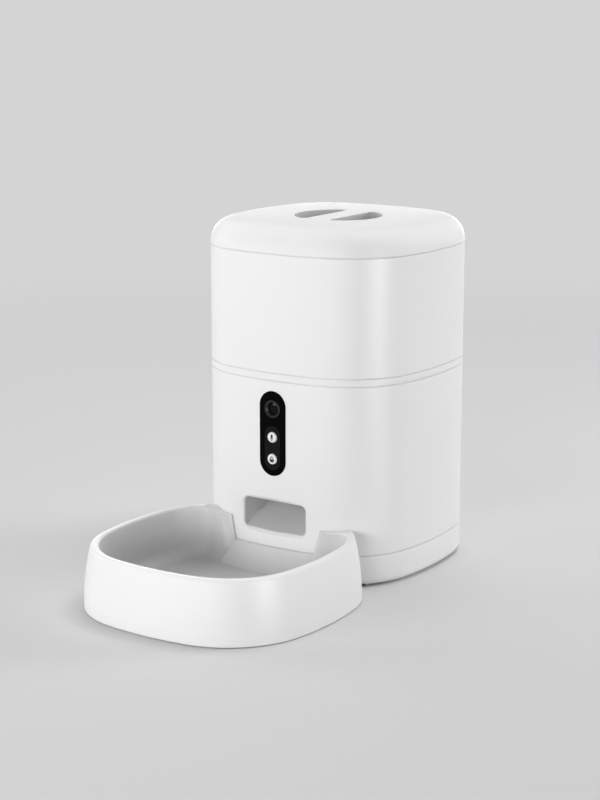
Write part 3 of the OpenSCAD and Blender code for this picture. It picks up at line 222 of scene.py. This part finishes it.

MATERIALS = {
    "white_shell": plastic("white_satin", *WHITE, (0.40, 0.48), edge=MOULD_EDGE),
    "white_gloss": plastic("white_smooth", *SMOOTH_WHITE, (0.30, 0.38), 1500, 0.06, edge=MOULD_EDGE),
    "inner_white": plastic("white_plain", (0.73, 0.73, 0.72), (0.77, 0.77, 0.76), (0.42, 0.55), 1800, 0.15),
    "inner_grey": plastic("grey_plain", (0.40, 0.42, 0.43), (0.46, 0.48, 0.49), (0.4, 0.52), 1800, 0.15),
    "soft_grey": plastic("silicone", (0.36, 0.38, 0.39), (0.42, 0.44, 0.45), (0.55, 0.7), 1200, 0.2),
    "pack_paper": plastic("pouch", (0.70, 0.68, 0.62), (0.82, 0.80, 0.74), (0.8, 0.95), 900, 0.6, 0.0002),
    "rubber_dark": plastic("rubber", (0.016, 0.016, 0.017), (0.028, 0.028, 0.03), (0.65, 0.85), 1300, 0.3),
    "black_gloss": plastic("black_polished", (0.0007, 0.0007, 0.0008), (0.0012, 0.0012, 0.0013), (0.12, 0.2),
                           800, 0.02, 0.00002, gloss=0.04, edge=PANEL_EDGE),
    "dark_grey": plastic("dark_satin", (0.017, 0.017, 0.018), (0.024, 0.024, 0.025), (0.38, 0.5), 2200, 0.15,
                         gloss=0.25),
    "black_matte": plastic("black_plain", (0.01, 0.01, 0.011), (0.018, 0.018, 0.02), (0.5, 0.65), 1500, 0.2),
    "part_grey": plastic("component", (0.05, 0.05, 0.055), (0.11, 0.11, 0.115), (0.4, 0.6), 1100, 0.2,
                         drift=120),
    "lens_glass": glass("lens_glass"),
    "board_green": board("circuit_board"),
    "steel": brushed("steel", (0.50, 0.51, 0.53), (0.62, 0.63, 0.65), (0.22, 0.4)),
    "zinc": brushed("zinc", (0.36, 0.37, 0.39), (0.5, 0.51, 0.53), (0.35, 0.55)),
}
RUBBER = plastic("grey_rubber", (0.30, 0.30, 0.302), (0.35, 0.35, 0.352), (0.65, 0.85), 1300, 0.3)

# Nodes whose finish differs from the rest of their material slot; the lid and the bowl also have shade
# painted into their hollows
OWN = {
    "base_feet": RUBBER,
    "bowl_pads": RUBBER,
    "chute": plastic("grey_chute", (0.53, 0.53, 0.535), (0.57, 0.57, 0.575), (0.36, 0.46), 1800, 0.1),
    # lid and bowl: colour darkened in the finger wells and inside the bowl, as painted shade
    "lid": plastic("white_lid", *WHITE, (0.44, 0.52), gloss=0.25, edge=MOULD_EDGE,
                   hollow_shade=(0.70, 0.86, WELL_HEIGHT)),
    "bowl": plastic("white_bowl", *SMOOTH_WHITE, (0.43, 0.51), 1500, 0.06, edge=MOULD_EDGE,
                    hollow_shade=(0.64, 0.87, BOWL_HEIGHT)),
    "button_pad": plastic("dark_pad", (0.004, 0.004, 0.0043), (0.006, 0.006, 0.0063), (0.4, 0.5), 2200, 0.15,
                          gloss=0.08),
}
ICON_PRINT = plastic("icon_print", (0.012, 0.012, 0.013), (0.018, 0.018, 0.019), (0.45, 0.6), 2000, 0.1,
                     gloss=0.2)

for part in frame["record"]["subparts"]:
    obj = nodes[part["node"]]
    obj.data.materials.clear()
    obj.data.materials.append(OWN.get(part["node"]) or MATERIALS[part["material_slot"]])


# Shading across the joins of the curved faces

BLEND_ANGLE = 24         # degrees, as the next
BOWL_BLEND_ANGLE = 38    # the bowl's rim and ears turn more sharply from face to face


def blend_normals(obj, angle):
    """Shades neighbouring faces as one surface where they meet at less than the angle, in degrees."""
    mesh = obj.data
    count = len(mesh.loops)
    normals = np.empty(count * 3, np.float32)
    mesh.corner_normals.foreach_get("vector", normals)
    normals = normals.reshape(-1, 3)
    corners = np.empty(count, np.int32)
    mesh.loops.foreach_get("vertex_index", corners)
    places = np.empty(len(mesh.vertices) * 3, np.float32)
    mesh.vertices.foreach_get("co", places)
    spots = np.unique(np.round(places.reshape(-1, 3), 6), axis=0, return_inverse=True)[1].reshape(-1)[corners]
    order = np.argsort(spots, kind="stable")
    spots, sorted_normals = spots[order], normals[order]
    total = sorted_normals.copy()
    limit = math.cos(math.radians(angle))
    step = 1
    while step < count:
        same = spots[step:] == spots[:-step]
        if not same.any():
            break
        close = same & ((sorted_normals[step:] * sorted_normals[:-step]).sum(1) > limit)
        total[step:][close] += sorted_normals[:-step][close]
        total[:-step][close] += sorted_normals[step:][close]
        step += 1
    total /= np.linalg.norm(total, axis=1, keepdims=True)
    normals[order] = total
    mesh.normals_split_custom_set(normals.tolist())


for name, obj in nodes.items():
    blend_normals(obj, BOWL_BLEND_ANGLE if name == "bowl" else BLEND_ANGLE)


# Icons printed on the two buttons, sized from each button's middle

MM = 0.001
PRINT_DEPTH = 0.00003
MIC_R, MIC_TOP, MIC_LOW = 0.95 * MM, 1.75 * MM, -0.15 * MM
CRADLE_R, CRADLE_WIDTH, CRADLE_Z = 1.75 * MM, 0.42 * MM, -0.1 * MM
STEM_HALF, STEM_LOW, STEM_TOP = 0.21 * MM, -2.75 * MM, -2.0 * MM
STAND_HALF, STAND_LOW, STAND_TOP = 1.0 * MM, -3.05 * MM, -2.7 * MM
DISH_R, DISH_Z = 2.35 * MM, -0.35 * MM
RIM_HALF, RIM_LOW, RIM_TOP = 2.75 * MM, -0.2 * MM, 0.2 * MM
FOOD_R, FOOD_X, FOOD_LOW, FOOD_TOP = 0.62 * MM, 1.15 * MM, 1.05 * MM, 2.05 * MM


def flat_piece(name, loops, y):
    """Flat outlines in X and Z, given as lists of points, made into one thin printed piece facing -Y."""
    mesh = bpy.data.meshes.new(name)
    made = bmesh.new()
    for loop in loops:
        front = [made.verts.new((x, y - PRINT_DEPTH, z)) for x, z in loop]
        back = [made.verts.new((x, y, z)) for x, z in loop]
        made.faces.new(front)
        made.faces.new(back[::-1])
        for i in range(len(loop)):
            j = (i + 1) % len(loop)
            made.faces.new((front[i], back[i], back[j], front[j]))
    bmesh.ops.recalc_face_normals(made, faces=made.faces)
    made.to_mesh(mesh)
    made.free()
    piece = bpy.data.objects.new(name, mesh)
    scene.collection.objects.link(piece)
    piece.data.materials.append(ICON_PRINT)
    return piece


def arc(x, z, r, start, end, steps):
    """Points round a centre, from one angle to another in degrees."""
    angles = [math.radians(start + (end - start) * i / steps) for i in range(steps + 1)]
    return [(x + r * math.cos(a), z + r * math.sin(a)) for a in angles]


def band(x, z, r, width, start, end, steps=16):
    """A curved stripe as one outline."""
    return arc(x, z, r + width / 2, start, end, steps) + arc(x, z, r - width / 2, end, start, steps)


def bar(x, half, low, high):
    """A rectangle, as wide on both sides of x."""
    return [(x - half, low), (x + half, low), (x + half, high), (x - half, high)]


def pellet(x, z):
    """A round piece of food; the outline's last side closes it."""
    return arc(x, z, FOOD_R, 0, 348, 14)


def front_middle(node):
    """The middle of a node's front face."""
    low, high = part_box(node)
    return (low.x + high.x) / 2, low.y, (low.z + high.z) / 2


x, y, z = front_middle("button_talk")
talk_icon = flat_piece("icon_talk", [
    arc(x, z + MIC_TOP, MIC_R, 0, 180, 14) + arc(x, z + MIC_LOW, MIC_R, 180, 360, 14),
    band(x, z + CRADLE_Z, CRADLE_R, CRADLE_WIDTH, 190, 350),
    bar(x, STEM_HALF, z + STEM_LOW, z + STEM_TOP),
    bar(x, STAND_HALF, z + STAND_LOW, z + STAND_TOP),
], y)
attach(talk_icon, "talk_button")

x, y, z = front_middle("button_feed")
feed_icon = flat_piece("icon_feed", [
    arc(x, z + DISH_Z, DISH_R, 180, 360, 18),
    bar(x, RIM_HALF, z + RIM_LOW, z + RIM_TOP),
    pellet(x - FOOD_X, z + FOOD_LOW),
    pellet(x + FOOD_X, z + FOOD_LOW),
    pellet(x, z + FOOD_TOP),
], y)
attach(feed_icon, "feed_button")


# Studio: pale floor, soft lights and the photograph's camera

FLOOR_DARK = (0.66, 0.66, 0.665)
FLOOR_LIGHT = (0.68, 0.68, 0.685)
FLOOR_HALF = 120
EVEN_FROM, EVEN_BY = 0.4, 1.8    # distances between which the floor passes into the backdrop's tone
BACKDROP = (0.66, 0.66, 0.665)
SKY_LIGHT = 0.2

CAMERA_PLACE = (0.87155, -1.26072, 0.50189)
CAMERA_AZIMUTH, CAMERA_ELEVATION = 34.055, 12.8165
CAMERA_LENS, CAMERA_SENSOR = 84.24, 36
VIEW_LIMIT = 400

# Each lamp: azimuth and elevation in degrees, distance and size in metres, watts. Azimuth 0 is in front.
LAMP_AIM = Vector((0, 0, 0.15))
LAMPS = {
    "front": (13, 9, 2.2, (1.0, 0.5), 18),
    "left": (-25, 14, 2.2, (1.0, 0.7), 13.2),
    "far_left": (-78, 18, 2.2, (1.0, 0.9), 11),
    "right": (135, 12, 2.0, (0.8, 0.6), 19),
    "rear": (155, 72, 2.0, (1.2, 0.8), 19),
    "rear_left": (-125, 40, 2.0, (1.2, 0.8), 4.5),
    "strip": (76, 4, 2.0, (0.12, 0.5), 35),
    "rim": (-150, 4, 2.0, (1.6, 0.25), 13),
}
GLINT_ONLY = {"strip", "rim"}    # show in the gloss, as the bright band on the corner and the lit rims
NO_GLINT = {"right"}             # lights matt surfaces and stays out of the gloss


def seen_rays(tree):
    """1 for camera, glossy and transmission rays, 0 for the rest."""
    path = tree.nodes.new("ShaderNodeLightPath")
    total = path.outputs["Is Camera Ray"]
    for ray in ("Is Glossy Ray", "Is Transmission Ray"):
        larger = tree.nodes.new("ShaderNodeMath")
        larger.operation = "MAXIMUM"
        tree.links.new(total, larger.inputs[0])
        tree.links.new(path.outputs[ray], larger.inputs[1])
        total = larger.outputs[0]
    return total


def pale_floor():
    """Wide floor that takes the object's shadow and keeps an even tone farther away."""
    mesh = bpy.data.meshes.new("floor")
    made = bmesh.new()
    bmesh.ops.create_grid(made, x_segments=1, y_segments=1, size=FLOOR_HALF)
    made.to_mesh(mesh)
    made.free()
    floor = bpy.data.objects.new("floor", mesh)
    scene.collection.objects.link(floor)
    material, made, links, shader, coords = new_material("pale_floor")
    slow = noise(made, links, coords, 0.8)
    links.new(tinted(made, links, slow, FLOOR_DARK, FLOOR_LIGHT), shader.inputs["Base Color"])
    shader.inputs["Roughness"].default_value = 0.9
    shader.inputs["Specular IOR Level"].default_value = 0.1
    even = made.new("ShaderNodeEmission")
    even.inputs["Color"].default_value = (*BACKDROP, 1)
    away = made.new("ShaderNodeVectorMath")
    away.operation = "LENGTH"
    links.new(coords, away.inputs[0])
    far = made.new("ShaderNodeMapRange")
    far.interpolation_type = "SMOOTHSTEP"
    far.inputs["From Min"].default_value = EVEN_FROM
    far.inputs["From Max"].default_value = EVEN_BY
    links.new(away.outputs["Value"], far.inputs["Value"])
    share = made.new("ShaderNodeMath")
    share.operation = "MULTIPLY"
    links.new(far.outputs["Result"], share.inputs[0])
    links.new(seen_rays(material.node_tree), share.inputs[1])
    blend = made.new("ShaderNodeMixShader")
    links.new(share.outputs[0], blend.inputs["Fac"])
    links.new(shader.outputs["BSDF"], blend.inputs[1])
    links.new(even.outputs[0], blend.inputs[2])
    output = next(node for node in made if node.type == "OUTPUT_MATERIAL")
    links.new(blend.outputs[0], output.inputs["Surface"])
    floor.data.materials.append(material)


def sky():
    """World that lights the object softly and shows as a plain pale backdrop."""
    world = bpy.data.worlds.new("studio")
    world.use_nodes = True
    tree = world.node_tree
    tree.nodes.clear()
    output = tree.nodes.new("ShaderNodeOutputWorld")
    soft = tree.nodes.new("ShaderNodeBackground")
    soft.inputs["Strength"].default_value = SKY_LIGHT
    shown = tree.nodes.new("ShaderNodeBackground")
    shown.inputs["Color"].default_value = (*BACKDROP, 1)
    mix = tree.nodes.new("ShaderNodeMixShader")
    tree.links.new(seen_rays(tree), mix.inputs["Fac"])
    tree.links.new(soft.outputs[0], mix.inputs[1])
    tree.links.new(shown.outputs[0], mix.inputs[2])
    tree.links.new(mix.outputs[0], output.inputs["Surface"])
    scene.world = world


def outward(azimuth, elevation):
    """Unit vector from the object towards a place round it."""
    a, e = math.radians(azimuth), math.radians(elevation)
    return Vector((math.sin(a) * math.cos(e), -math.cos(a) * math.cos(e), math.sin(e)))


def placed(name, data, place, facing):
    """Puts a lamp or camera in the scene, facing along a direction with its top up."""
    obj = bpy.data.objects.new(name, data)
    obj.location = place
    obj.rotation_mode = "QUATERNION"
    obj.rotation_quaternion = facing.to_track_quat("-Z", "Y")
    scene.collection.objects.link(obj)
    return obj


def lamp(name, azimuth, elevation, distance, size, watts):
    """A soft lamp that shines at the middle of the object."""
    data = bpy.data.lights.new(name, "AREA")
    data.shape = "RECTANGLE"
    data.size, data.size_y = size
    data.energy = watts
    place = LAMP_AIM + distance * outward(azimuth, elevation)
    obj = placed(name, data, place, LAMP_AIM - place)
    obj.visible_diffuse = name not in GLINT_ONLY
    obj.visible_glossy = name not in NO_GLINT


def photo_camera():
    """The camera that took the photograph."""
    data = bpy.data.cameras.new("camera")
    data.sensor_width = CAMERA_SENSOR
    data.lens = CAMERA_LENS
    data.clip_end = VIEW_LIMIT
    scene.camera = placed("camera", data, CAMERA_PLACE, -outward(CAMERA_AZIMUTH, CAMERA_ELEVATION))


pale_floor()
sky()
for name, settings in LAMPS.items():
    lamp(name, *settings)
photo_camera()
scene.view_settings.view_transform = "Standard"
